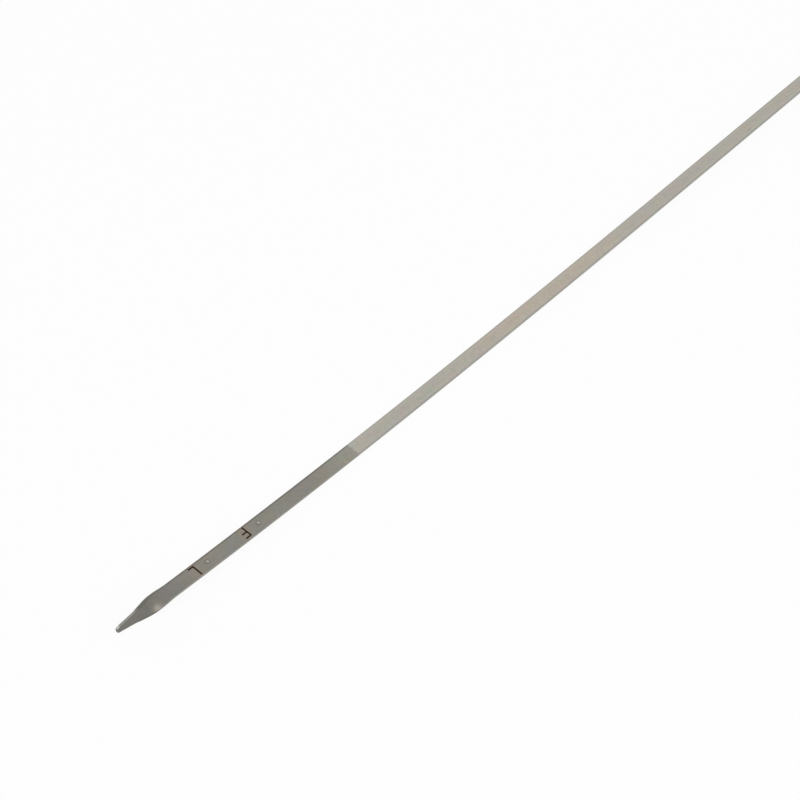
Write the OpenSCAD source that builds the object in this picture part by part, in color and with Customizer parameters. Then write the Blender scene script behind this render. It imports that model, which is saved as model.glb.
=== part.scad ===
// Engine oil dipstick, lying at rest: a flat steel strip with a moulded pull handle.
// The origin is at the seat, where the handle's shoulder meets the mouth of the dipstick tube,
// on the axis of the plug. The tip points to -X and +Z is up. The strip's flat faces look up and
// down, except in the last few centimetres, where it is twisted a quarter turn.

/* [Strip] */
// Seat to the end of the strip, along the plug's axis
reach = 450; // [400:1:600]
// Width of the strip
strip_w = 6; // [5:0.1:6.4]
// Thickness of the strip
strip_t = 1; // [0.8:0.05:1.4]
// Radius that rolling leaves on the strip's long edges
edge_r = 0.25; // [0.1:0.01:0.35]

/* [Twisted tip] */
// Tip to the place where the quarter turn is complete
twist_end = 6.8; // [5:0.1:12]
// Tip to the place where the quarter turn starts
twist_start = 23.3; // [18:0.1:32]
// Angle of the turn
twist_angle = 89; // [60:1:90]
// Length over which the strip narrows to its nose
taper_len = 9.3; // [5:0.1:16]
// Width of the blunt nose
nose_w = 2.1; // [1.8:0.1:3]
// Rounding of the nose, along the strip
nose_round = 0.2; // [0.1:0.05:0.3]
// Clip of the nose's far corner, across the strip
far_clip = 0.4; // [0.2:0.05:0.5]
// Clip of the nose's far corner, along the strip
far_clip_len = 1.4; // [1:0.1:2]
// Clip of the nose's near corner, across the strip
near_clip = 0.25; // [0.1:0.05:0.3]
// Clip of the nose's near corner, along the strip
near_clip_len = 0.5; // [0.4:0.1:0.7]

/* [Bow of the strip] */
// Tip to the lowest place of the strip
low_at = 150; // [120:1:170]
// How far the tip stands over the lowest place
tip_rise = 4.65; // [4:0.05:6]
// Slope of the strip at the tip, in degrees
tip_pitch = 4; // [2:0.1:4.4]
// Plug's nose to the steepest place of the strip
steep_back = 76; // [60:1:100]
// How far the steepest place stands over the lowest
steep_rise = 4; // [3:0.1:4.6]
// Slope there, in degrees
steep_pitch = 1.75; // [1:0.05:2.4]

/* [Level marks] */
// Tip to the centre of the pit beside the low mark
low_pit_at = 39.6; // [36:0.1:48]
// From the low pit to the full pit
pit_spacing = 23.3; // [15:0.1:40]
// Diameter of each punched pit
pit_d = 1.9; // [1.2:0.1:3]
// Depth of each pit
pit_depth = 0.33; // [0.1:0.01:0.45]

/* [Plug] */
// Bore of the tube mouth that the plug seats in
tube_bore = 11; // [10.6:0.1:11.4]
// Clearance between plug and bore, on the radius
plug_clearance = 0.15; // [0.05:0.01:0.3]
// Length of the plug, seat to nose
plug_len = 29; // [26:0.5:36]
// Chamfer that leads the plug in
lead_in = 2.2; // [1:0.1:3]
// Plain land between the seat and the first groove
land_len = 8; // [5:0.5:10]
// Land between the two grooves
mid_land = 4; // [3:0.5:5]

/* [Seal rings] */
// Thickness of a seal ring's round section
seal_section = 1.8; // [1.5:0.1:2]
// How far a seal ring stands proud of the tube's bore, on the radius, before it is squeezed
seal_squeeze = 0.1; // [0.05:0.01:0.11]
// Spare width of a groove
groove_play = 0.6; // [0.3:0.05:0.8]

/* [Pull handle] */
// Thickness over the shoulder's flats, which the handle lies on
flats_t = 12; // [12:0.5:16]
// Diameter of the shoulder
shoulder_d = 19; // [17:0.5:24]
// Length of the shoulder's straight rim
shoulder_t = 3.5; // [2.5:0.5:6]
// Radius of the hollow between shoulder and neck
shoulder_sweep = 4; // [3:0.5:5]
// Width of the neck
neck_w = 11; // [9:0.5:12]
// Shoulder's rim to the finger ring
neck_len = 10; // [9:0.5:16]
// Thickness of the neck
neck_t = 6; // [5:0.1:6.8]
// Thickness of the finger ring
ring_t = 7.6; // [7:0.1:9]
// Clear width inside the finger ring
finger_gap = 22; // [20:0.5:28]
// Width of the ring's band
band_w = 5.4; // [4.5:0.1:6]
// Fillets where the neck runs out into the ring
neck_fillet = 4; // [3:0.5:6]
// How far the strip's end goes into the handle past the seat
tang_len = 13; // [10:0.5:14]
// Hole in the strip that the moulding locks into
lock_hole_d = 2.8; // [2:0.1:3.2]
// Moulding clearance around the strip, on each side
mould_gap = 0.03; // [0.01:0.01:0.08]

/* [Hidden] */

fine = 96;
eps = 0.01;

// Places along the strip, counted from its tip
grip_at = reach - plug_len;
steep_at = grip_at - steep_back;
strip_len = reach + tang_len;
lock_at = reach + tang_len / 2;

// The strip's lowest face is level with the underside of the handle's flats
plug_rise = flats_t / 2 - strip_t / 2;

// Bow of the strip: [distance from the tip, height over the lowest place, slope]
bow = [
    [0, tip_rise, -tan(tip_pitch)],
    [low_at, 0, 0],
    [steep_at, steep_rise, tan(steep_pitch)],
    [grip_at, plug_rise, 0],
    [strip_len, plug_rise, 0]
];

// Plug and grooves
plug_r = tube_bore / 2 - plug_clearance;
seal_r = tube_bore / 2 + seal_squeeze;
seal_gap = 0.02;
groove_r = seal_r - seal_section - seal_gap;
groove_w = seal_section + groove_play;
upper_groove = land_len;
lower_groove = land_len + groove_w + mid_land;

// Finger ring
ring_r = finger_gap / 2 + band_w;
ring_x = shoulder_t + neck_len + ring_r;

// Smooth curve from one bow station to the next
function hermite(a, b, x) =
    let (d = b[0] - a[0], u = (x - a[0]) / d)
    a[1] * (1 + 2 * u) * (1 - u) * (1 - u) + b[1] * u * u * (3 - 2 * u)
    + d * (a[2] * u * (1 - u) * (1 - u) - b[2] * u * u * (1 - u));

function station(x, i = 1) = (i >= len(bow) - 1 || x <= bow[i][0]) ? i : station(x, i + 1);

// Height of the strip's middle over the plug's axis
function strip_z(x) = let (i = station(x)) hermite(bow[i - 1], bow[i], x) - plug_rise;

function ease(u) = let (v = min(1, max(0, u))) v * v * (3 - 2 * v);

// The far edge rises as the strip turns towards its tip
function turn(x) = twist_angle * ease((twist_start - x) / (twist_start - twist_end));

// Width of the strip, and what the rounded nose takes off it at each side
function width_at(x) = nose_w + (strip_w - nose_w) * min(1, x / taper_len);
function nose_cut(x) =
    x >= nose_round ? 0 : nose_round - sqrt(nose_round * nose_round - pow(nose_round - x, 2));

// What the clip of a corner takes off its side
function clip(x, depth, len) = depth * max(0, 1 - x / len);

// Corner points of a section with rounded corners, from its middle line to the far and the near side
function section(far, near, t, r) = [
    for (q = [0:3], s = [0:2])
        let (a = q * 90 + s * 45, cx = (q == 0 || q == 3) ? far - r : r - near, cy = q < 2 ? 1 : -1)
        [cx + r * cos(a), cy * (t / 2 - r) + r * sin(a)]
];

// One ring of the strip, in the part's frame
function strip_ring(x) =
    let (cut = nose_cut(x), half_w = (width_at(x) - cut) / 2,
         far = half_w - clip(x, far_clip, far_clip_len),
         near = half_w - clip(x, near_clip, near_clip_len),
         t = strip_t - min(cut, strip_t / 4),
         a = turn(x), z = strip_z(x))
    [for (p = section(far, near, t, min(edge_r, t / 3, (far + near) / 3)))
        [x - reach, p[0] * cos(a) - p[1] * sin(a), z + p[0] * sin(a) + p[1] * cos(a)]];

// Ring spacing: close at the nose, the taper and the twist, wide on the plain strip
nose_steps = 4;
twist_steps = 32;
bow_steps = 44;
stops = concat(
    [for (i = [0:nose_steps - 1]) nose_round * pow(i / nose_steps, 2)],
    [nose_round, near_clip_len],
    [for (i = [0:twist_steps - 1]) far_clip_len + (twist_start - far_clip_len) * i / twist_steps],
    [for (i = [0:bow_steps - 1]) twist_start + (grip_at - twist_start) * i / bow_steps],
    [grip_at, strip_len]
);

module swept_strip() {
    rings = [for (x = stops) strip_ring(x)];
    n = len(rings[0]);
    last = len(rings) - 1;
    polyhedron(
        points = [for (ring = rings) each ring],
        faces = concat(
            [[for (j = [0:n - 1]) j]],
            [for (i = [0:last - 1], j = [0:n - 1], half = [0:1])
                let (k = (j + 1) % n, a = i * n + j, b = i * n + k, c = a + n, d = b + n)
                half == 0 ? [a, c, b] : [b, c, d]],
            [[for (j = [n - 1:-1:0]) last * n + j]]
        ),
        convexity = 6
    );
}

// A shallow round pit pressed into the upper face
module pit(x) {
    ball_r = (pit_d * pit_d / 4 + pit_depth * pit_depth) / (2 * pit_depth);
    translate([x - reach, 0, strip_z(x) + strip_t / 2 + ball_r - pit_depth])
        sphere(r = ball_r, $fn = 64);
}

module blade() color("#A9A59C") difference() {
    swept_strip();
    for (x = [low_pit_at, low_pit_at + pit_spacing]) pit(x);
    translate([lock_at - reach, 0, -strip_t])
        cylinder(d = lock_hole_d, h = 2 * strip_t, $fn = fine);
}

// Turned form of the plug with its two grooves, nose towards the tip
module plug() rotate([0, -90, 0]) rotate_extrude($fn = fine) difference() {
    polygon([[0, -shoulder_t / 2], [plug_r, -shoulder_t / 2], [plug_r, plug_len - lead_in],
             [plug_r - lead_in / 2, plug_len], [0, plug_len]]);
    for (g = [upper_groove, lower_groove])
        translate([groove_r, g]) square([plug_r, groove_w]);
}

// Round shoulder with a hollow sweep to the neck, cut to two flats
module shoulder() intersection() {
    rotate([0, 90, 0]) rotate_extrude($fn = fine) difference() {
        square([shoulder_d / 2, shoulder_t + shoulder_sweep]);
        translate([shoulder_d / 2, shoulder_t + shoulder_sweep]) circle(r = shoulder_sweep, $fn = fine);
    }
    translate([-eps, -shoulder_d, -flats_t / 2])
        cube([shoulder_t + shoulder_sweep + 2 * eps, 2 * shoulder_d, flats_t]);
}

// Finger ring, its band a flat oval in section
module finger_ring() translate([ring_x, 0, 0]) rotate_extrude($fn = fine)
    translate([ring_r - band_w / 2, 0]) {
        square([band_w, ring_t - band_w], center = true);
        for (s = [-1, 1]) translate([0, s * (ring_t - band_w) / 2]) circle(d = band_w, $fn = fine);
    }

// Neck, with a fillet on each side where it meets the ring
module neck() {
    fillet_y = neck_w / 2 + neck_fillet;
    fillet_x = ring_x - sqrt(pow(ring_r + neck_fillet, 2) - fillet_y * fillet_y);
    reach_in = ring_r / (ring_r + neck_fillet);
    core_y = neck_w / 4;
    linear_extrude(neck_t, center = true) {
        translate([shoulder_t, -neck_w / 2]) square([neck_len + band_w * 0.6, neck_w]);
        for (side = [0, 1]) mirror([0, side]) difference() {
            polygon([[fillet_x, core_y], [fillet_x, fillet_y],
                     [ring_x - (ring_x - fillet_x) * reach_in, fillet_y * reach_in],
                     [ring_x - ring_r + band_w / 2, core_y]]);
            translate([fillet_x, fillet_y]) circle(r = neck_fillet, $fn = fine);
        }
    }
}

// Room for the strip's end, less the stub that fills its lock hole
module strip_pocket() difference() {
    translate([-plug_len - eps, -strip_w / 2 - mould_gap, -strip_t / 2 - mould_gap])
        cube([plug_len + eps + tang_len + mould_gap, strip_w + 2 * mould_gap, strip_t + 2 * mould_gap]);
    translate([lock_at - reach, 0, -strip_t])
        cylinder(d = lock_hole_d - 2 * mould_gap, h = 2 * strip_t, $fn = fine);
}

module pull_handle() color("#D9A21E") difference() {
    union() {
        plug();
        shoulder();
        neck();
        finger_ring();
    }
    strip_pocket();
}

// Seal ring in the middle of its groove
module seal_ring(groove) color("#26262A") rotate([0, -90, 0])
    translate([0, 0, groove + groove_w / 2]) rotate_extrude($fn = fine)
        translate([seal_r - seal_section / 2, 0]) circle(d = seal_section, $fn = 48);

module upper_seal_ring() seal_ring(upper_groove);
module lower_seal_ring() seal_ring(lower_groove);

blade();
pull_handle();
upper_seal_ring();
lower_seal_ring();
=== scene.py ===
import math

import bmesh
import bpy
import numpy as np
from mathutils import Matrix, Vector


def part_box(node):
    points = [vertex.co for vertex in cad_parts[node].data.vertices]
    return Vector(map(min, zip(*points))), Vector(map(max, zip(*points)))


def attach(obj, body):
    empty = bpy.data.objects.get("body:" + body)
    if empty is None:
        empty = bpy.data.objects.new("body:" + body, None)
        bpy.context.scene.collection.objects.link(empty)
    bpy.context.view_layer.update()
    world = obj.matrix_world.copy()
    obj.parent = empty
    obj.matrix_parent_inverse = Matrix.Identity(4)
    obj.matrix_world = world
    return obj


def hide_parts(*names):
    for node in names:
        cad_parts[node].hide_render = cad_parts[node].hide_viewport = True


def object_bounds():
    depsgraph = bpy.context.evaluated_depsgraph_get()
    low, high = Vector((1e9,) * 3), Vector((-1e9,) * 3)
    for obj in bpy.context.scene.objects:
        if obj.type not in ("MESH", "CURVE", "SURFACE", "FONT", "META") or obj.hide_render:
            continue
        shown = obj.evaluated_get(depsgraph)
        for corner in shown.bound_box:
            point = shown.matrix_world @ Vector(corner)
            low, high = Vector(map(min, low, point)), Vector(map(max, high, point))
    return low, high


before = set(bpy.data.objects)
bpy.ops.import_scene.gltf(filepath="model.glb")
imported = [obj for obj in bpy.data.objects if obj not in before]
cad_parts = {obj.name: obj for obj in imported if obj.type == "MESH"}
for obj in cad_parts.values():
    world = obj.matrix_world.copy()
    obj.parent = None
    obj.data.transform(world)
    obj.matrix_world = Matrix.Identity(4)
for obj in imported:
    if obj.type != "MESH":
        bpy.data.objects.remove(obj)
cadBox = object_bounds()

mm = 0.001
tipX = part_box("blade")[0][0]   # the strip runs from here towards +X
floorZ = cadBox[0][2]


def linear(hexColor):   # sRGB hex to the linear colour that Blender wants
    parts = [int(hexColor[i:i + 2], 16) / 255 for i in (1, 3, 5)]
    return tuple(c / 12.92 if c <= 0.04045 else ((c + 0.055) / 1.055) ** 2.4 for c in parts) + (1.0,)


def addNode(tree, kind, settings=None, links=None):
    # settings are the node's own properties, links are its inputs: a value, or another node's output
    node = tree.nodes.new(kind)
    for key, value in (settings or {}).items():
        setattr(node, key, value)
    for key, value in (links or {}).items():
        if isinstance(value, bpy.types.NodeSocket):
            tree.links.new(value, node.inputs[key])
        else:
            node.inputs[key].default_value = value
    return node


def calc(tree, operation, one, two=0.0):
    return addNode(tree, "ShaderNodeMath", {"operation": operation}, {0: one, 1: two}).outputs[0]


def ramp(tree, value, start, end, low=0.0, high=1.0, easing="LINEAR"):
    inputs = {"Value": value, "From Min": start, "From Max": end, "To Min": low, "To Max": high}
    return addNode(tree, "ShaderNodeMapRange", {"interpolation_type": easing}, inputs).outputs[0]


def blend(tree, share, one, two):   # of two colours
    return addNode(tree, "ShaderNodeMix", {"data_type": "RGBA"}, {0: share, 6: one, 7: two}).outputs[2]


def mixed(tree, share, one, two):   # of two numbers
    return addNode(tree, "ShaderNodeMix", {"data_type": "FLOAT"}, {0: share, 2: one, 3: two}).outputs[0]


def stored(tree, name):   # of a value that the strip's mesh carries at each point
    return addNode(tree, "ShaderNodeAttribute", {"attribute_name": name}).outputs["Vector"]


def vector(tree, operation, one, two, out=0):
    return addNode(tree, "ShaderNodeVectorMath", {"operation": operation}, {0: one, 1: two}).outputs[out]


def shaded(tree, colour, strength):
    inputs = {0: colour, "Scale": strength}
    return addNode(tree, "ShaderNodeVectorMath", {"operation": "SCALE"}, inputs).outputs[0]


# Camera, fitted to the strip's two contours and the slant of its cross lines in the photo

camera = {
    "place": (-677.1 * mm, -336.2 * mm, 553.9 * mm),
    "azimuth": -46.9,      # degrees from looking along +Y
    "elevation": 48.317,
    "focalPixels": 2126,   # in a picture 800 pixels wide
    "pictureWidth": 800,
    "sensor": 36.0,
}


def makeCamera():
    data = bpy.data.cameras.new("camera")
    data.sensor_width = camera["sensor"]
    data.lens = camera["focalPixels"] * camera["sensor"] / camera["pictureWidth"]
    data.clip_start = 0.05
    data.clip_end = 20
    cam = bpy.data.objects.new("camera", data)
    a, e = math.radians(camera["azimuth"]), math.radians(camera["elevation"])
    back = Vector((math.sin(a) * math.cos(e), -math.cos(a) * math.cos(e), math.sin(e)))
    right = Vector((math.cos(a), math.sin(a), 0))
    up = back.cross(right)
    turn = Matrix((right, up, back)).transposed().to_4x4()
    cam.matrix_world = Matrix.Translation(camera["place"]) @ turn
    bpy.context.scene.collection.objects.link(cam)
    bpy.context.scene.camera = cam


makeCamera()
print("camera placed")


# Strip: its sizes are those of the CAD node that it replaces

strip = {
    "width": 6 * mm,
    "thickness": 1 * mm,
    "edgeRadius": 0.25 * mm,
    "twistStart": 23.3 * mm,   # all places along the strip are counted from its tip
    "twistEnd": 6.8 * mm,
    "twistAngle": math.radians(89),
    "taper": 9.3 * mm,
    "noseWidth": 2.1 * mm,
    "noseRound": 0.2 * mm,
    "farClip": 0.4 * mm,       # the nose's corners are clipped: by how much, and how far back
    "farClipLength": 1.4 * mm,
    "nearClip": 0.25 * mm,
    "nearClipLength": 0.5 * mm,
    "lowPit": 39.6 * mm,
    "fullPit": 62.9 * mm,
    "pitWidth": 1.9 * mm,
    "pitDepth": 0.33 * mm,
    "finishLine": 108.4 * mm,
}

# Bow of the strip: place along it, height of its middle over the plug's axis, slope
bow = [
    (0, -0.85 * mm, -math.tan(math.radians(4))),
    (150 * mm, -5.5 * mm, 0),
    (345 * mm, -1.5 * mm, math.tan(math.radians(1.75))),
    (421 * mm, 0, 0),
    (463 * mm, 0, 0),
]


def lift(along):
    a, b = next((a, b) for a, b in zip(bow, bow[1:]) if along <= b[0] + 1e-9)
    d = b[0] - a[0]
    u = (along - a[0]) / d
    v = 1 - u
    heights = a[1] * (1 + 2 * u) * v * v + b[1] * u * u * (3 - 2 * u)
    return heights + d * (a[2] * u * v * v - b[2] * u * u * v)


def polyCurve(name, points, closed=False):
    data = bpy.data.curves.new(name, "CURVE")
    data.dimensions = "3D"
    spline = data.splines.new("POLY")
    spline.points.add(len(points) - 1)
    for p, co in zip(spline.points, points):
        p.co = (*co, 1)
    spline.use_cyclic_u = closed
    obj = bpy.data.objects.new(name, data)
    bpy.context.scene.collection.objects.link(obj)
    return obj


# How far apart the sweep's rings lie: close at the nose, the twist and the pits, wide on the plain strip
spacing = {
    "nose": 0.04 * mm,
    "clips": 0.1 * mm,
    "twist": 0.25 * mm,
    "pastTwist": 2 * mm,   # how far beyond the twist its spacing goes on
    "pit": 0.08 * mm,
    "pitReach": 0.75,      # either way from a pit's middle, in pit widths
    "betweenPits": 1.5 * mm,
    "plain": 2 * mm,
}


def spinePlaces():
    pitReach = strip["pitWidth"] * spacing["pitReach"]
    low, full = strip["lowPit"], strip["fullPit"]
    twisted = strip["twistStart"] + spacing["pastTwist"]
    stretches = [
        (0, strip["noseRound"], spacing["nose"]),
        (strip["noseRound"], strip["farClipLength"], spacing["clips"]),
        (strip["farClipLength"], twisted, spacing["twist"]),
        (twisted, low - pitReach, spacing["betweenPits"]),
        (low - pitReach, low + pitReach, spacing["pit"]),
        (low + pitReach, full - pitReach, spacing["betweenPits"]),
        (full - pitReach, full + pitReach, spacing["pit"]),
        (full + pitReach, bow[-1][0], spacing["plain"]),
    ]
    places = [0]
    for start, end, step in stretches:
        count = max(1, round((end - start) / step))
        places += [start + (end - start) * (i + 1) / count for i in range(count)]
    return places


def sectionPoints():
    # rolled section: two flats, two sides and four round corners; the upper flat has the pits
    halfW, halfT, r = strip["width"] / 2, strip["thickness"] / 2, strip["edgeRadius"]
    corners = [(1, 1, 0), (-1, 1, 90), (-1, -1, 180), (1, -1, 270)]
    counts = [40, 4, 16, 4]   # steps along the upper flat, a side, the lower flat, a side
    points = []
    for q, (cy, cz, start) in enumerate(corners):
        centre = (cy * (halfW - r), cz * (halfT - r))
        angles = [math.radians(start + a) for a in (0, 18, 36, 54, 72, 90)]
        arc = [(centre[0] + r * math.cos(a), centre[1] + r * math.sin(a)) for a in angles]
        points += arc
        ny, nz, nextStart = corners[(q + 1) % 4]
        a = math.radians(nextStart)
        last = Vector(arc[-1])
        goal = Vector((ny * (halfW - r) + r * math.cos(a), nz * (halfT - r) + r * math.sin(a)))
        points += [tuple(last.lerp(goal, i / counts[q])) for i in range(1, counts[q])]
    return points


def stripTree():
    tree = bpy.data.node_groups.new("twistedStrip", "GeometryNodeTree")
    face = tree.interface
    face.new_socket("Spine", in_out="INPUT", socket_type="NodeSocketGeometry")
    face.new_socket("Section", in_out="INPUT", socket_type="NodeSocketObject")
    sizes = ["width", "thickness", "twistStart", "twistEnd", "twistAngle", "taper", "noseWidth", "noseRound",
             "farClip", "farClipLength", "nearClip", "nearClipLength",
             "lowPit", "fullPit", "pitWidth", "pitDepth"]
    for name in sizes:
        face.new_socket(name, in_out="INPUT", socket_type="NodeSocketFloat")
    face.new_socket("Steel", in_out="INPUT", socket_type="NodeSocketMaterial")
    face.new_socket("Strip", in_out="OUTPUT", socket_type="NodeSocketGeometry")
    given = tree.nodes.new("NodeGroupInput").outputs

    # the spine's heights are kept, and the strip is swept straight first
    place = addNode(tree, "GeometryNodeInputPosition")
    spot = addNode(tree, "ShaderNodeSeparateXYZ", links={0: place.outputs[0]})
    kept = addNode(tree, "GeometryNodeStoreNamedAttribute", {"data_type": "FLOAT", "domain": "POINT"},
                   {"Geometry": given["Spine"], "Name": "lift", "Value": spot.outputs["Z"]})
    flatPlace = addNode(tree, "ShaderNodeCombineXYZ", links={"X": spot.outputs["X"]})
    straight = addNode(tree, "GeometryNodeSetPosition",
                       links={"Geometry": kept.outputs[0], "Position": flatPlace.outputs[0]})
    section = addNode(tree, "GeometryNodeObjectInfo", links={"Object": given["Section"]})
    swept = addNode(tree, "GeometryNodeCurveToMesh",
                    links={"Curve": straight.outputs[0], "Profile Curve": section.outputs["Geometry"],
                           "Fill Caps": True})

    # flatPlace is where each point lies on the straight strip, fromPit its offset from the nearer pit's
    # middle: the finish follows them
    kind = {"data_type": "FLOAT_VECTOR", "domain": "POINT"}
    marked = addNode(tree, "GeometryNodeStoreNamedAttribute", kind,
                     {"Geometry": swept.outputs[0], "Name": "flatPlace", "Value": place.outputs[0]})
    flat = addNode(tree, "ShaderNodeSeparateXYZ", links={0: place.outputs[0]})
    x, y, z = flat.outputs
    halfway = calc(tree, "MULTIPLY", calc(tree, "ADD", given["lowPit"], given["fullPit"]), 0.5)
    nearer = mixed(tree, calc(tree, "GREATER_THAN", x, halfway), given["lowPit"], given["fullPit"])
    fromPit = addNode(tree, "ShaderNodeCombineXYZ", links={"X": calc(tree, "SUBTRACT", x, nearer), "Y": y})
    measured = addNode(tree, "GeometryNodeStoreNamedAttribute", kind,
                       {"Geometry": marked.outputs[0], "Name": "fromPit", "Value": fromPit.outputs[0]})

    # pits: round bowls in the upper flat, which lies at half the thickness
    justUnder = 0.499
    onTop = calc(tree, "GREATER_THAN", z, calc(tree, "MULTIPLY", given["thickness"], justUnder))
    away = vector(tree, "LENGTH", fromPit.outputs[0], (0, 0, 0), "Value")
    share = calc(tree, "DIVIDE", away, calc(tree, "MULTIPLY", given["pitWidth"], 0.5))
    bowl = ramp(tree, calc(tree, "MULTIPLY", share, share), 0.0, 1.0, given["pitDepth"], 0.0)
    pitZ = calc(tree, "SUBTRACT", z, calc(tree, "MULTIPLY", bowl, onTop))

    # nose: what its rounding takes off the width and the thickness, at most a quarter of the latter
    mostOff = 0.25
    rounding = given["noseRound"]
    short = calc(tree, "MAXIMUM", calc(tree, "SUBTRACT", rounding, x), 0.0)
    square = calc(tree, "MULTIPLY", rounding, rounding)
    left = calc(tree, "SUBTRACT", square, calc(tree, "MULTIPLY", short, short))
    cut = calc(tree, "SUBTRACT", rounding, calc(tree, "SQRT", left))

    # taper, its far corner clipped more than its near one
    tapered = ramp(tree, x, 0.0, given["taper"], given["noseWidth"], given["width"])
    farCut = ramp(tree, x, 0.0, given["farClipLength"], given["farClip"], 0.0)
    nearCut = ramp(tree, x, 0.0, given["nearClipLength"], given["nearClip"], 0.0)
    clipped = mixed(tree, calc(tree, "GREATER_THAN", y, 0.0), nearCut, farCut)
    taken = calc(tree, "ADD", calc(tree, "MULTIPLY", clipped, 2.0), cut)
    widthShare = calc(tree, "DIVIDE", calc(tree, "SUBTRACT", tapered, taken), given["width"])
    thinner = calc(tree, "MINIMUM", cut, calc(tree, "MULTIPLY", given["thickness"], mostOff))
    thickShare = calc(tree, "DIVIDE", calc(tree, "SUBTRACT", given["thickness"], thinner), given["thickness"])
    shaped = addNode(tree, "ShaderNodeCombineXYZ",
                     links={"X": x, "Y": calc(tree, "MULTIPLY", y, widthShare),
                            "Z": calc(tree, "MULTIPLY", pitZ, thickShare)})

    # quarter turn, then up to the spine's height and back to the strip's place
    roll = ramp(tree, x, given["twistEnd"], given["twistStart"], given["twistAngle"], 0.0, "SMOOTHSTEP")
    rolled = addNode(tree, "ShaderNodeVectorRotate", {"rotation_type": "X_AXIS"},
                     {"Vector": shaped.outputs[0], "Angle": roll})
    raised = addNode(tree, "GeometryNodeInputNamedAttribute", {"data_type": "FLOAT"}, {"Name": "lift"})
    shift = addNode(tree, "ShaderNodeCombineXYZ", links={"X": tipX, "Z": raised.outputs[0]})
    final = vector(tree, "ADD", rolled.outputs[0], shift.outputs[0])
    bent = addNode(tree, "GeometryNodeSetPosition",
                   links={"Geometry": measured.outputs[0], "Position": final})
    real = addNode(tree, "GeometryNodeRealizeInstances", links={"Geometry": bent.outputs[0]})
    steel = addNode(tree, "GeometryNodeSetMaterial",
                    links={"Geometry": real.outputs[0], "Material": given["Steel"]})
    out = tree.nodes.new("NodeGroupOutput")
    tree.links.new(steel.outputs[0], out.inputs["Strip"])
    return tree, sizes


def setInput(modifier, tree, name, value):
    socket = next(s for s in tree.interface.items_tree if s.name == name and s.in_out == "INPUT")
    modifier[socket.identifier] = value


def meshFrom(obj, name):   # the evaluated result as a plain mesh object at the origin
    bpy.context.view_layer.update()
    evaluated = obj.evaluated_get(bpy.context.evaluated_depsgraph_get())
    mesh = bpy.data.meshes.new_from_object(evaluated, preserve_all_data_layers=True)
    mesh.name = name
    piece = bpy.data.objects.new(name, mesh)
    bpy.context.scene.collection.objects.link(piece)
    return piece


def makeStrip(steel):
    spine = polyCurve("stripSpine", [(s, 0, lift(s)) for s in spinePlaces()])
    section = polyCurve("stripSection", [(y, z, 0) for y, z in sectionPoints()], closed=True)
    tree, sizes = stripTree()
    sweep = spine.modifiers.new("sweep", "NODES")
    sweep.node_group = tree
    setInput(sweep, tree, "Section", section)
    for name in sizes:
        setInput(sweep, tree, name, strip[name])
    setInput(sweep, tree, "Steel", steel)
    piece = meshFrom(spine, "steelStrip")
    spine.modifiers.remove(sweep)
    for helper in (spine, section):
        bpy.data.objects.remove(helper)
    piece.data.shade_smooth()
    bm = bmesh.new()
    bm.from_mesh(piece.data)
    bmesh.ops.recalc_face_normals(bm, faces=bm.faces)
    bm.to_mesh(piece.data)
    bm.free()
    return piece


# Level letters, burnt into the upper flat. Their heads point to the near edge, their arms to the tip

letters = {
    "line": 0.6 * mm,
    "proud": 0.012 * mm,
    "fullStem": 57.6 * mm,
    "fullFoot": 2.5 * mm,   # places across the strip, + towards the far edge
    "fullHead": -2.0 * mm,
    "fullMiddle": 0.02 * mm,
    "fullArm": 2.15 * mm,
    "lowStem": 34.85 * mm,
    "lowFoot": 1.86 * mm,
    "lowHead": -2.6 * mm,
    "lowArm": 2.15 * mm,
    "corner": 0.16 * mm,
    "scorch": 1.8 * mm,     # how far the burning has coloured the steel round a letter
}


def letterOutlines():
    h = letters["line"] / 2
    stem, foot, head = letters["fullStem"], letters["fullFoot"], letters["fullHead"]
    middle, arm = letters["fullMiddle"], letters["fullArm"]
    full = [(stem + h, foot), (stem - h, foot), (stem - h, middle + h), (stem - arm, middle + h),
            (stem - arm, middle - h), (stem - h, middle - h), (stem - h, head + h),
            (stem - arm, head + h), (stem - arm, head - h), (stem + h, head - h)]
    stem, foot, head, arm = letters["lowStem"], letters["lowFoot"], letters["lowHead"], letters["lowArm"]
    low = [(stem + h, foot + h), (stem - arm, foot + h), (stem - arm, foot - h), (stem - h, foot - h),
           (stem - h, head), (stem + h, head)]
    return [full, low]


def rounded(outline, radius, steps=4):
    points = []
    for i, corner in enumerate(outline):
        corner = Vector(corner)
        ends = [Vector(outline[i - 1]), Vector(outline[(i + 1) % len(outline)])]
        before, after = (corner + (end - corner).normalized() * radius for end in ends)
        for step in range(steps + 1):
            u = step / steps
            points.append(before * (1 - u) ** 2 + corner * 2 * u * (1 - u) + after * u ** 2)
    return points


def letterBoxes():   # the space that each letter takes up on the straight strip
    height = strip["thickness"] / 2
    boxes = []
    for outline in letterOutlines():
        low = [min(p[axis] for p in outline) for axis in (0, 1)]
        high = [max(p[axis] for p in outline) for axis in (0, 1)]
        boxes.append((low + [height], high + [height]))
    return boxes


def makeLetters(burnt):
    bm = bmesh.new()
    top = strip["thickness"] / 2 + letters["proud"]
    for outline in letterOutlines():
        outline = rounded(outline, letters["corner"])
        rings = []
        for height in (top, top - 3 * letters["proud"]):
            rings.append([bm.verts.new((s + tipX, y, lift(s) + height)) for s, y in outline])
        bm.faces.new(rings[0])
        bm.faces.new(list(reversed(rings[1])))
        for i in range(len(outline)):
            j = (i + 1) % len(outline)
            bm.faces.new((rings[0][i], rings[1][i], rings[1][j], rings[0][j]))
    bmesh.ops.recalc_face_normals(bm, faces=bm.faces)
    mesh = bpy.data.meshes.new("levelLetters")
    bm.to_mesh(mesh)
    bm.free()
    mesh.materials.append(burnt)
    piece = bpy.data.objects.new("levelLetters", mesh)
    bpy.context.scene.collection.objects.link(piece)
    return piece


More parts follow.
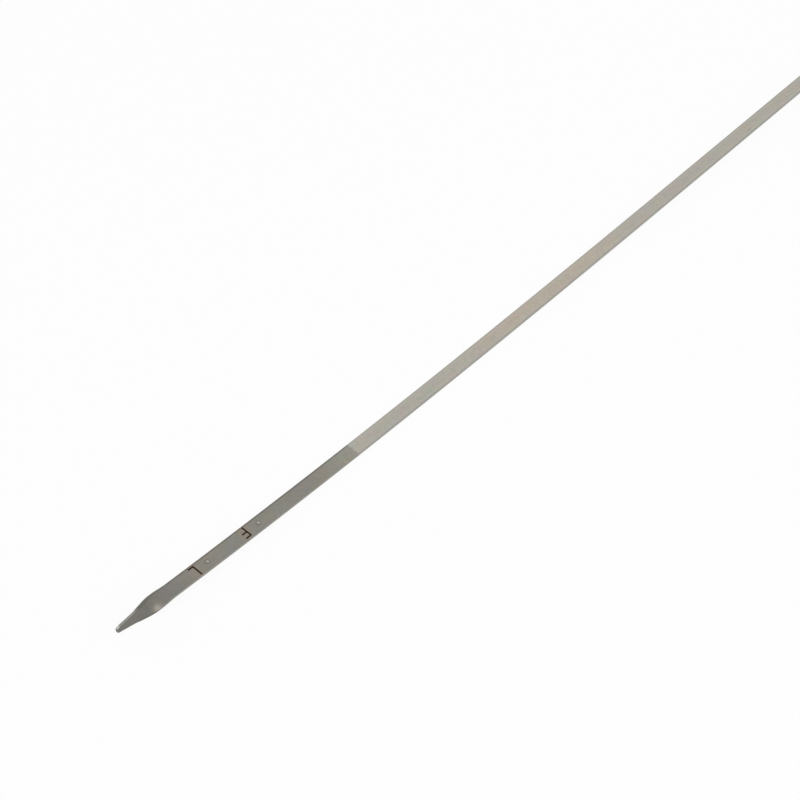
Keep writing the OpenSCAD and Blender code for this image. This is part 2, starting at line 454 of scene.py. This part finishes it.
# Handle: the moulding's form is a distance field in mm, blended where the mould is blended

handle = {
    "plugRadius": 5.35,
    "plugLength": 29,
    "leadIn": 2.2,
    "grooveRadius": 3.78,
    "grooveWidth": 2.4,
    "grooves": (8, 14.4),
    "shoulderRadius": 9.5,
    "shoulderLength": 3.5,
    "flats": 12,
    "neckWidth": 11,
    "neckThickness": 6,
    "neckLength": 10,
    "fingerGap": 22,
    "bandWidth": 5.4,
    "ringThickness": 7.6,
    "edge": 0.9,            # how far in from a moulded edge its rounding reaches
    "shoulderBlend": 5.76,  # fillet between neck and shoulder
    "ringBlend": 3.6,       # fillet between neck and ring
    "seatBlend": 0.3,       # fillet between plug and shoulder
    "leadInSoft": 0.4,      # rounding where the lead-in cone starts
    "leadInCosine": 0.894,  # of the cone's slope, which takes off half as much as the cone is long
    "grooveSoft": 0.25,     # rounding of the grooves' edges
    "cell": 0.26,           # spacing of the mesh
}


def smoothMin(a, b, k):
    h = np.maximum(k - np.abs(a - b), 0) / k
    return np.minimum(a, b) - h * h * k / 4


def smoothMax(a, b, k):
    return -smoothMin(-a, -b, k)


def handleField(x, y, z):
    s = handle
    ringR = s["fingerGap"] / 2 + s["bandWidth"] / 2
    ringX = s["shoulderLength"] + s["neckLength"] + s["fingerGap"] / 2 + s["bandWidth"]
    soft = s["edge"]
    axial = np.hypot(y, z)

    ring = np.hypot(np.hypot(x - ringX, y) - ringR,
                    np.maximum(np.abs(z) - (s["ringThickness"] - s["bandWidth"]) / 2, 0)) - s["bandWidth"] / 2
    neckEnd = ringX - ringR
    neckBox = [np.abs(x - neckEnd / 2) - neckEnd / 2 + soft,
               np.abs(y) - s["neckWidth"] / 2 + soft,
               np.abs(z) - s["neckThickness"] / 2 + soft]
    outside = np.sqrt(sum(np.maximum(d, 0) ** 2 for d in neckBox))
    neck = outside + np.minimum(np.maximum.reduce(neckBox), 0) - soft

    halfShoulder = s["shoulderLength"] / 2
    rim = smoothMax(axial - s["shoulderRadius"], np.abs(x - halfShoulder) - halfShoulder, soft)
    grip = smoothMin(smoothMin(neck, rim, s["shoulderBlend"]), ring, s["ringBlend"])
    grip = smoothMax(grip, np.abs(z) - s["flats"] / 2, soft)
    grip = smoothMax(grip, -x, soft / 2)

    cone = (axial - s["plugRadius"] + (-x - s["plugLength"] + s["leadIn"]) / 2) * s["leadInCosine"]
    plug = np.maximum(smoothMax(axial - s["plugRadius"], cone, s["leadInSoft"]), -s["plugLength"] - x)
    plug = np.maximum(plug, x - s["shoulderLength"] / 2)
    for start in s["grooves"]:
        middle = -start - s["grooveWidth"] / 2
        groove = np.maximum(np.abs(x - middle) - s["grooveWidth"] / 2, s["grooveRadius"] - axial)
        plug = smoothMax(plug, -groove, s["grooveSoft"])
    return smoothMin(grip, plug, s["seatBlend"])


def netMesh(field, low, high, step):
    # one point in each grid cell that the surface crosses, then a quad round each crossed grid edge
    axes = [np.arange(a, b + step, step) for a, b in zip(low, high)]
    values = field(*np.meshgrid(*axes, indexing="ij"))
    inside = values < 0
    cells = tuple(n - 1 for n in values.shape)
    total = np.zeros(cells + (3,))
    hits = np.zeros(cells)
    offsets = [np.array(c) for c in np.ndindex(2, 2, 2)]
    for axis in range(3):
        for corner in (c for c in offsets if c[axis] == 0):
            other = corner.copy()
            other[axis] = 1
            a = values[tuple(slice(c, c + n) for c, n in zip(corner, cells))]
            b = values[tuple(slice(c, c + n) for c, n in zip(other, cells))]
            crossed = (a < 0) != (b < 0)
            share = np.where(crossed, a / np.where(crossed, a - b, 1), 0)
            for k in range(3):
                total[..., k] += np.where(crossed, corner[k] + (share if k == axis else 0), 0)
            hits += crossed
    active = hits > 0
    number = -np.ones(cells, int)
    number[active] = np.arange(active.sum())
    where = np.argwhere(active)
    points = np.array(low) + step * (where + total[active] / hits[active][:, None])

    d = 0.02   # how far either way the field's slope is measured
    for _ in range(3):   # slide the points onto the true surface
        x, y, z = points.T
        here = field(x, y, z)
        slope = np.stack([field(x + d, y, z) - field(x - d, y, z), field(x, y + d, z) - field(x, y - d, z),
                          field(x, y, z + d) - field(x, y, z - d)], 1) / (2 * d)
        move = here[:, None] * slope / np.maximum((slope * slope).sum(1), 0.25)[:, None]
        points -= np.clip(move, -step / 3, step / 3)

    faces = []
    for axis in range(3):
        one, two = (axis + 1) % 3, (axis + 2) % 3
        first = np.take(inside, range(values.shape[axis] - 1), axis)
        second = np.take(inside, range(1, values.shape[axis]), axis)
        edge = np.argwhere(first != second)
        edge = edge[(edge[:, one] > 0) & (edge[:, two] > 0)]
        ring = []
        for da, db in ((0, 0), (1, 0), (1, 1), (0, 1)):
            cell = edge.copy()
            cell[:, one] -= da
            cell[:, two] -= db
            ring.append(number[tuple(cell.T)])
        quad = np.stack(ring, 1)
        leaving = first[tuple(edge.T)]
        quad[~leaving] = quad[~leaving][:, ::-1]
        faces.append(quad)
    return points, np.concatenate(faces)


def makeHandle(plastic):
    s = handle
    reachX = s["shoulderLength"] + s["neckLength"] + s["fingerGap"] + 2 * s["bandWidth"]
    halfY = s["fingerGap"] / 2 + s["bandWidth"]
    low = (-s["plugLength"] - 1, -halfY - 1, -s["flats"] / 2 - 1)
    high = (reachX + 1, halfY + 1, s["flats"] / 2 + 1)
    points, faces = netMesh(handleField, low, high, s["cell"])
    mesh = bpy.data.meshes.new("mouldedHandle")
    mesh.from_pydata((points * mm).tolist(), [], faces.tolist())
    mesh.update()
    mesh.shade_smooth()
    mesh.materials.append(plastic)
    piece = bpy.data.objects.new("mouldedHandle", mesh)
    bpy.context.scene.collection.objects.link(piece)
    return piece


# Materials

steelLook = {
    "bright": "#ACA89E",
    "warm": "#B3AA9D",                 # of the bright steel's warmer stretch
    "warmMiddle": 214 * mm,
    "warmReach": (15 * mm, 62 * mm),   # either way from its middle: full, gone
    "nose": "#76736E",                 # the blasted end's tones, partly painted shade, from the nose to its line
    "blastedAndShaded": "#89867E",
    "atLine": "#969389",
    "noseTone": (8 * mm, 36 * mm),     # where the nose's tone starts to go, and is gone
    "lineTone": 88 * mm,               # where the tone starts to pale towards the line
    "brightSide": "#A3A29C",
    "blastedSide": "#95948D",
    "twistSideShade": "#6C6B66",            # painted shade on the far side, as far as the twist turns it up
    "twistSideShadeEnd": (16 * mm, 20 * mm),   # where that starts to go, and is gone
    "sideBand": 0.08 * mm,             # in from the widest place: what counts as a side
    "lineBlur": 0.06 * mm,             # either way from the finish line
    "cutSideLit": "#918F8C",              # of the taper's side: partly fresh-cut steel, partly painted light where that side faces up
    "cutTone": (7.6 * mm, 9.8 * mm),   # where that starts to go, and is gone
    "paintedSheen": "#B4B1AA",            # painted sheen on the bright steel along its long edges
    "paintedSheenBand": (1.3 * mm, 2.0 * mm, 2.6 * mm, 2.9 * mm),   # from the strip's middle line
    "paintedSheenShare": 0.4,
    "stain": "#8F8E84",
    "stainPlace": (332.4 * mm, -1.3 * mm, 0.5 * mm),
    "stainReach": (0.15 * mm, 0.5 * mm),
    "stainShare": 0.8,
    # painted highlight colour, for the pits and the nose's far corner
    "paintedHighlight": "#CCCBC7",
    "scorched": "#9C8673",
    "scorchedShare": 0.42,
    "tarnishSwing": (0.32, 0.2, 0.36),   # red, green and blue: how much the patches vary, and their least
    "tarnishLeast": (0.84, 0.9, 0.82),
    "roughness": (0.36, 0.32),         # of the blasted end, of the bright steel
}

# Pits' painted rim shade and painted highlight: places are shares of the pit's radius
pitLook = {
    "rim": (0.6, 0.9, 1.0, 1.3),   # where the painted rim shade starts, is full, starts to go, is gone
    # how dark the painted rim shade makes the steel
    "rimShadeTone": 0.8,
    "highlightWay": (0.85, 0.5, 0),     # along and across the strip, the way towards the painted highlight
    "highlightSide": (0.05, 0.35),       # that way from the middle, where the painted highlight starts and is full
    "bowl": (0.55, 0.85),          # where it starts to go towards the rim, and is gone
    # how strong the painted highlight is in the bowl
    "highlightShare": 0.5,
}

# Painted shade along the long edges: how far in from the edge it starts and is full,
# how much darker at the tip, on the blasted end and above its line, and where the tip's share changes
paintedEdgeShade = {
    "near": {"inward": (0.7 * mm, 0.2 * mm), "darker": (0.38, 0.03, 0.2), "change": (13 * mm, 18 * mm)},
    "far": {"inward": (0.95 * mm, 0.5 * mm), "darker": (0.15, 0.32, 0.08), "change": (16 * mm, 50 * mm)},
}

# Painted highlight on the nose's far corner: where it starts, is full, starts to go, is gone
noseHighlight = {
    "along": (0.1 * mm, 0.4 * mm, 0.9 * mm, 1.5 * mm),
    "across": (2.2 * mm, 2.8 * mm),
    "height": (-0.45 * mm, -0.15 * mm, 0.1 * mm, 0.45 * mm),
}


def newMaterial(name):
    material = bpy.data.materials.new(name)
    material.use_nodes = True
    tree = material.node_tree
    tree.nodes.clear()
    shader = tree.nodes.new("ShaderNodeBsdfPrincipled")
    out = tree.nodes.new("ShaderNodeOutputMaterial")
    tree.links.new(shader.outputs[0], out.inputs["Surface"])
    return material, tree, shader


def rise(tree, value, edges):   # 0 to 1 between the first two edges, and back to 0 between the last two
    up = ramp(tree, value, edges[0], edges[1])
    if len(edges) == 2:
        return up
    return calc(tree, "MULTIPLY", up, ramp(tree, value, edges[2], edges[3], 1.0, 0.0))


def rolledSteel():
    # Cold-rolled spring steel, satin: faint lengthwise rolling lines under a thin, patchy tarnish. The
    # measuring end is blasted, so it looks rougher and darker up to a sharp line; the darker tone is partly
    # the blasted finish and partly painted shade
    material, tree, shader = newMaterial("coldRolledSpringSteel")
    look = {name: linear(value) if isinstance(value, str) else value for name, value in steelLook.items()}
    place = stored(tree, "flatPlace")
    spot = addNode(tree, "ShaderNodeSeparateXYZ", links={0: place})
    along, across, height = spot.outputs
    line = ramp(tree, along, strip["finishLine"] - look["lineBlur"], strip["finishLine"] + look["lineBlur"])

    # tones of the blasted end, partly painted shade, and of the bright steel with its warmer stretch
    blastedAndShaded = blend(tree, ramp(tree, along, *look["noseTone"]), look["nose"], look["blastedAndShaded"])
    paler = blend(tree, ramp(tree, along, look["lineTone"], strip["finishLine"]), blastedAndShaded, look["atLine"])
    fromWarm = calc(tree, "ABSOLUTE", calc(tree, "SUBTRACT", along, look["warmMiddle"]))
    warmth = ramp(tree, fromWarm, *look["warmReach"], 1.0, 0.0, "SMOOTHSTEP")
    face = blend(tree, line, paler, blend(tree, warmth, look["bright"], look["warm"]))

    # tarnish in patches of 5 mm and less, each channel by itself
    patches = addNode(tree, "ShaderNodeTexNoise", {},
                      {"Vector": place, "Scale": 200.0, "Detail": 3.0, "Roughness": 0.75})
    tarnish = addNode(tree, "ShaderNodeVectorMath", {"operation": "MULTIPLY_ADD"},
                      {0: patches.outputs["Color"], 1: look["tarnishSwing"], 2: look["tarnishLeast"]})

    # a fine speckle 0.9 mm across, and rolling lines 0.2 mm apart
    speckle = addNode(tree, "ShaderNodeTexNoise", {}, {"Vector": place, "Scale": 1100.0, "Detail": 1.0})
    stretched = vector(tree, "MULTIPLY", place, (40, 5000, 5000))
    lines = addNode(tree, "ShaderNodeTexNoise", {}, {"Vector": stretched, "Scale": 1.0, "Detail": 3.0})
    grain = lines.outputs["Fac"]
    tone = vector(tree, "MULTIPLY", face, tarnish.outputs[0])
    tone = shaded(tree, tone, ramp(tree, grain, 0.3, 0.7, 0.96, 1.04))
    tone = shaded(tree, tone, ramp(tree, speckle.outputs["Fac"], 0.3, 0.7, 0.95, 1.05))

    # scorched steel round the letters
    for low, high in letterBoxes():
        middle = [(a + b) / 2 for a, b in zip(low, high)]
        half = [(b - a) / 2 for a, b in zip(low, high)]
        folded = vector(tree, "ABSOLUTE", vector(tree, "SUBTRACT", place, middle), (0, 0, 0))
        beyond = vector(tree, "MAXIMUM", vector(tree, "SUBTRACT", folded, half), (0, 0, 0))
        away = vector(tree, "LENGTH", beyond, (0, 0, 0), "Value")
        scorch = ramp(tree, away, 0.0, letters["scorch"], look["scorchedShare"], 0.0, "SMOOTHSTEP")
        tone = blend(tree, calc(tree, "MULTIPLY", scorch, patches.outputs["Fac"]), tone, look["scorched"])

    # the long edges: a painted sheen along them on the bright steel, a small stain near one, and painted
    # shade along both
    fromMiddle = calc(tree, "ABSOLUTE", across)
    edgeSheen = calc(tree, "MULTIPLY", rise(tree, fromMiddle, look["paintedSheenBand"]), line)
    tone = blend(tree, calc(tree, "MULTIPLY", edgeSheen, look["paintedSheenShare"]), tone, look["paintedSheen"])
    fromStain = vector(tree, "DISTANCE", place, look["stainPlace"], "Value")
    stained = ramp(tree, fromStain, *look["stainReach"], look["stainShare"], 0.0)
    tone = blend(tree, stained, tone, look["stain"])
    halfWidth = strip["width"] / 2
    isFar = calc(tree, "GREATER_THAN", across, 0.0)
    sides = {"near": calc(tree, "SUBTRACT", 1.0, isFar), "far": isFar}
    # painted shade along both long edges, strongest along the near edge at the tip
    for name, edge in paintedEdgeShade.items():
        tip, rough, plain = edge["darker"]
        onBlasted = ramp(tree, along, *edge["change"], tip, rough)
        darker = calc(tree, "MULTIPLY", mixed(tree, line, onBlasted, plain), sides[name])
        start, full = (halfWidth - inward for inward in edge["inward"])
        reach = ramp(tree, fromMiddle, start, full, easing="SMOOTHSTEP")
        tone = shaded(tree, tone, calc(tree, "SUBTRACT", 1.0, calc(tree, "MULTIPLY", reach, darker)))

    # the two sides
    # painted shade on the far side where the twist turns it up
    pastTwist = ramp(tree, along, *look["twistSideShadeEnd"])
    turnedUpShade = calc(tree, "MULTIPLY", calc(tree, "SUBTRACT", 1.0, pastTwist), isFar)
    rough = blend(tree, turnedUpShade, look["blastedSide"], look["twistSideShade"])
    # the taper's side: partly fresh-cut steel, partly painted light where it faces up
    rough = blend(tree, ramp(tree, along, *look["cutTone"]), look["cutSideLit"], rough)
    side = blend(tree, line, rough, look["brightSide"])
    onSide = calc(tree, "GREATER_THAN", fromMiddle, halfWidth - look["sideBand"])
    tone = blend(tree, onSide, tone, side)

    # pits: painted shade at the rim, and a painted highlight on one side of the bowl
    fromPit = stored(tree, "fromPit")
    pitR = strip["pitWidth"] / 2
    away = vector(tree, "LENGTH", fromPit, (0, 0, 0), "Value")
    onTop = calc(tree, "GREATER_THAN", height, 0.0)
    # painted shade round the pit's rim
    rim = calc(tree, "MULTIPLY", rise(tree, away, [pitR * share for share in pitLook["rim"]]), onTop)
    tone = shaded(tree, tone, ramp(tree, rim, 0.0, 1.0, 1.0, pitLook["rimShadeTone"]))
    towards = vector(tree, "DOT_PRODUCT", fromPit, pitLook["highlightWay"], "Value")
    highlightSide = ramp(tree, towards, *(pitR * share for share in pitLook["highlightSide"]))
    inBowl = ramp(tree, away, *(pitR * share for share in pitLook["bowl"]), pitLook["highlightShare"], 0.0)
    pitHighlight = calc(tree, "MULTIPLY", calc(tree, "MULTIPLY", highlightSide, inBowl), onTop)

    # painted highlight on the nose's far corner
    atNose = rise(tree, along, noseHighlight["along"])
    atEdge = rise(tree, across, noseHighlight["across"])
    atCorner = calc(tree, "MULTIPLY", atEdge, rise(tree, height, noseHighlight["height"]))
    paintedHighlight = calc(tree, "MAXIMUM", pitHighlight, calc(tree, "MULTIPLY", atNose, atCorner))
    tree.links.new(blend(tree, paintedHighlight, tone, look["paintedHighlight"]), shader.inputs["Base Color"])

    shader.inputs["Metallic"].default_value = 1.0
    uneven = ramp(tree, patches.outputs["Fac"], 0.3, 0.7, -0.04, 0.04)
    roughness = calc(tree, "ADD", ramp(tree, line, 0.0, 1.0, *look["roughness"]), uneven)
    tree.links.new(roughness, shader.inputs["Roughness"])
    bump = addNode(tree, "ShaderNodeBump", {}, {"Strength": 0.15, "Distance": 0.01 * mm, "Height": grain})
    tree.links.new(bump.outputs[0], shader.inputs["Normal"])
    return material


def burntOxide():
    # Laser-burnt line: a matt, dark brown oxide skin, thinner and lighter in spots of half a millimetre
    material, tree, shader = newMaterial("laserBurntOxide")
    place = addNode(tree, "ShaderNodeTexCoord").outputs["Object"]
    spots = addNode(tree, "ShaderNodeTexNoise", {}, {"Vector": place, "Scale": 1800.0, "Detail": 2.0})
    colour = blend(tree, ramp(tree, spots.outputs["Fac"], 0.4, 0.65), linear("#251A0F"), linear("#382A1B"))
    tree.links.new(colour, shader.inputs["Base Color"])
    shader.inputs["Roughness"].default_value = 0.7
    shader.inputs["Specular IOR Level"].default_value = 0.1
    return material


def mouldedNylon():
    # Glass-filled nylon, injection moulded in a spark-eroded tool: an even, fine matt skin, and a faint
    # raised line all round where the two halves of the tool meet
    material, tree, shader = newMaterial("mouldedNylon")
    place = addNode(tree, "ShaderNodeTexCoord").outputs["Object"]
    spot = addNode(tree, "ShaderNodeSeparateXYZ", links={0: place})
    # skin 0.2 mm from grain to grain, colour clouds of 8 mm
    skin = addNode(tree, "ShaderNodeTexNoise", {}, {"Vector": place, "Scale": 4500.0, "Detail": 2.0})
    cloud = addNode(tree, "ShaderNodeTexNoise", {}, {"Vector": place, "Scale": 120.0, "Detail": 2.0})
    colour = blend(tree, ramp(tree, cloud.outputs["Fac"], 0.3, 0.7), linear("#D59D1B"), linear("#DCA622"))
    tree.links.new(colour, shader.inputs["Base Color"])
    shader.inputs["Roughness"].default_value = 0.45
    fromJoin = calc(tree, "ABSOLUTE", spot.outputs["Z"])
    parting = ramp(tree, fromJoin, 0.04 * mm, 0.14 * mm, 1.5, 0.0, "SMOOTHSTEP")
    relief = calc(tree, "ADD", parting, skin.outputs["Fac"])
    bump = addNode(tree, "ShaderNodeBump", {}, {"Strength": 0.3, "Distance": 0.04 * mm, "Height": relief})
    tree.links.new(bump.outputs[0], shader.inputs["Normal"])
    return material


def nitrileRubber():
    # Nitrile rubber, compression moulded: black, with a soft sheen that a little bloom dulls in patches
    material, tree, shader = newMaterial("nitrileRubber")
    place = addNode(tree, "ShaderNodeTexCoord").outputs["Object"]
    bloom = addNode(tree, "ShaderNodeTexNoise", {}, {"Vector": place, "Scale": 500.0, "Detail": 3.0})   # 2 mm
    share = ramp(tree, bloom.outputs["Fac"], 0.35, 0.7)
    colour = blend(tree, share, linear("#1B1B1D"), linear("#262628"))
    tree.links.new(colour, shader.inputs["Base Color"])
    tree.links.new(ramp(tree, share, 0.0, 1.0, 0.38, 0.5), shader.inputs["Roughness"])
    return material


steel = rolledSteel()
stripPiece = makeStrip(steel)
print("strip swept:", len(stripPiece.data.polygons), "faces")
letterPiece = makeLetters(burntOxide())
print("letters burnt")
handlePiece = makeHandle(mouldedNylon())
print("handle moulded:", len(handlePiece.data.polygons), "faces")

rubber = nitrileRubber()
for name in ("upper_seal_ring", "lower_seal_ring"):
    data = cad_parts[name].data
    data.materials.clear()
    data.materials.append(rubber)

slots = ((stripPiece, "strip_steel"), (letterPiece, "strip_steel"), (handlePiece, "handle_plastic"))
for piece, slot in slots:
    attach(piece, "root")
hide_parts("blade")
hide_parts("pull_handle")


# Floor, light and background

studio = {
    "floorSize": 6.0,
    "floorColor": "#FFFFFF",
    "whiteShare": 0.93,    # how far the camera and reflections see the floor as plain white
    "worldSoft": 0.72,     # what the world gives matt surfaces
    "lampPower": 6.0,
    "lampSize": 1.2,
    "lampPlace": (-0.7, -1.4, 1.385),
    "lampAim": (-0.2, 0.0, 0.0),
}


def directSight(tree):   # 1 for camera, glossy and transmission rays
    path = tree.nodes.new("ShaderNodeLightPath")
    some = calc(tree, "MAXIMUM", path.outputs["Is Camera Ray"], path.outputs["Is Glossy Ray"])
    return calc(tree, "MAXIMUM", some, path.outputs["Is Transmission Ray"])


def makeStudio():
    half = studio["floorSize"] / 2
    mesh = bpy.data.meshes.new("floor")
    corners = [(-half, -half, floorZ), (half, -half, floorZ), (half, half, floorZ), (-half, half, floorZ)]
    mesh.from_pydata(corners, [], [(0, 1, 2, 3)])
    floor = bpy.data.objects.new("floor", mesh)
    bpy.context.scene.collection.objects.link(floor)
    material, tree, shader = newMaterial("studioFloor")
    shader.inputs["Base Color"].default_value = linear(studio["floorColor"])
    shader.inputs["Roughness"].default_value = 1.0
    shader.inputs["Specular IOR Level"].default_value = 0.0
    white = addNode(tree, "ShaderNodeEmission", {}, {"Color": (1, 1, 1, 1), "Strength": 1.0})
    share = calc(tree, "MULTIPLY", directSight(tree), studio["whiteShare"])
    seen = addNode(tree, "ShaderNodeMixShader", {}, {0: share, 1: shader.outputs[0], 2: white.outputs[0]})
    tree.links.new(seen.outputs[0], tree.nodes["Material Output"].inputs["Surface"])
    mesh.materials.append(material)

    world = bpy.data.worlds.new("studio")
    bpy.context.scene.world = world
    world.use_nodes = True
    tree = world.node_tree
    background = tree.nodes["Background"]
    background.inputs["Color"].default_value = (1, 1, 1, 1)
    strength = ramp(tree, directSight(tree), 0.0, 1.0, studio["worldSoft"], 1.0)
    tree.links.new(strength, background.inputs["Strength"])

    data = bpy.data.lights.new("softbox", "AREA")
    data.shape = "DISK"
    data.size = studio["lampSize"]
    data.energy = studio["lampPower"]
    lamp = bpy.data.objects.new("softbox", data)
    lamp.location = studio["lampPlace"]
    aim = Vector(studio["lampAim"]) - lamp.location
    lamp.rotation_euler = aim.to_track_quat("-Z", "Y").to_euler()
    bpy.context.scene.collection.objects.link(lamp)


makeStudio()
bpy.context.scene.view_settings.view_transform = "Standard"
print("studio lit")
